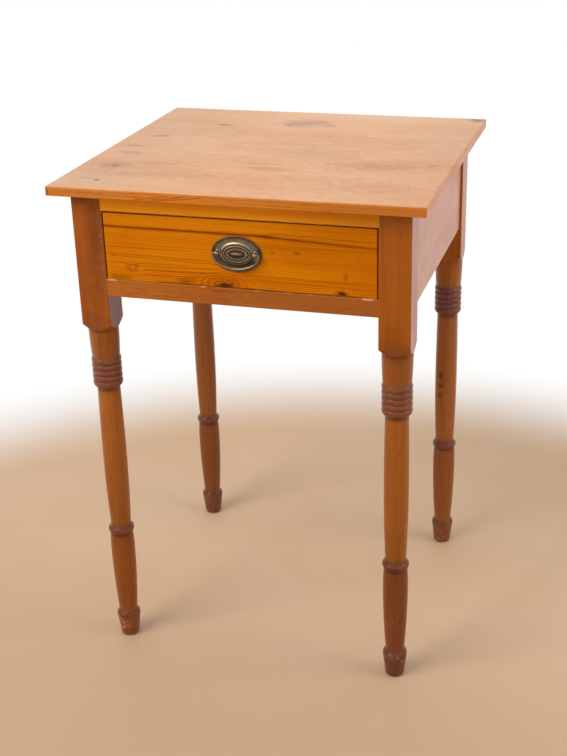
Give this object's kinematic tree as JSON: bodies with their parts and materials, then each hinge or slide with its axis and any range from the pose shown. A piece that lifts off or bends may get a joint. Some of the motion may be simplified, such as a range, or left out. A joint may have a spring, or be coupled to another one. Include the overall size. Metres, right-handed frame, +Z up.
{
  "type": "tavern table",
  "caption": "Small country stand with a thin overhanging top on square-headed turned legs, and an inset dovetailed drawer opened by an oval bail pull.",
  "frame": {"origin": "on the floor under the middle of the table top", "axes": "+Z up, +X to the right as seen from the drawer front, +Y to the back; the drawer opens towards -Y"},
  "size_m": [0.508, 0.486, 0.724],
  "materials": {
    "pine_top": "worn wax on pale pine",
    "front_pine": "satin shellac on orange pine",
    "leg_wood": "old shellac on stained hardwood",
    "rail_wood": "old shellac on stained hardwood",
    "apron_wood": "satin shellac on stained pine",
    "inner_pine": "bare pine, aged",
    "antique_brass": "darkened, rubbed bright on the raised parts",
    "iron": "dull, lightly rusted"
  },
  "bodies": {
    "frame": {"top_board": "pine_top", "front_left_leg": "leg_wood", "front_right_leg": "leg_wood", "back_left_leg": "leg_wood", "back_right_leg": "leg_wood", "back_apron": "apron_wood", "left_side_apron": "apron_wood", "right_side_apron": "apron_wood", "upper_front_rail": "front_pine", "lower_front_rail": "rail_wood", "left_drawer_runner": "inner_pine", "left_drawer_guide": "inner_pine", "left_kicker": "inner_pine", "left_drawer_stop": "inner_pine", "right_drawer_runner": "inner_pine", "right_drawer_guide": "inner_pine", "right_kicker": "inner_pine", "right_drawer_stop": "inner_pine", "top_screws": "iron", "runner_nails": "iron", "kicker_nails": "iron", "guide_nails": "iron"},
    "drawer": {"drawer_front": "front_pine", "drawer_left_side": "inner_pine", "drawer_right_side": "inner_pine", "drawer_back": "inner_pine", "drawer_bottom": "inner_pine", "pull_backplate": "antique_brass", "pull_left_post": "antique_brass", "pull_right_post": "antique_brass", "pull_left_nut": "antique_brass", "pull_right_nut": "antique_brass", "drawer_bottom_nails": "iron"},
    "bail": {"pull_bail": "antique_brass"}
  },
  "joints": [
    {"name": "drawer_slide", "type": "slide", "parent": "frame", "child": "drawer", "axis": [0, -1, 0], "range_m": [0, 0.3]},
    {"name": "bail_hinge", "type": "hinge", "parent": "drawer", "child": "bail", "pos_m": [0, -0.2231, 0.6417], "axis": [-1, 0, 0], "range_deg": [0, 165]}
  ]
}
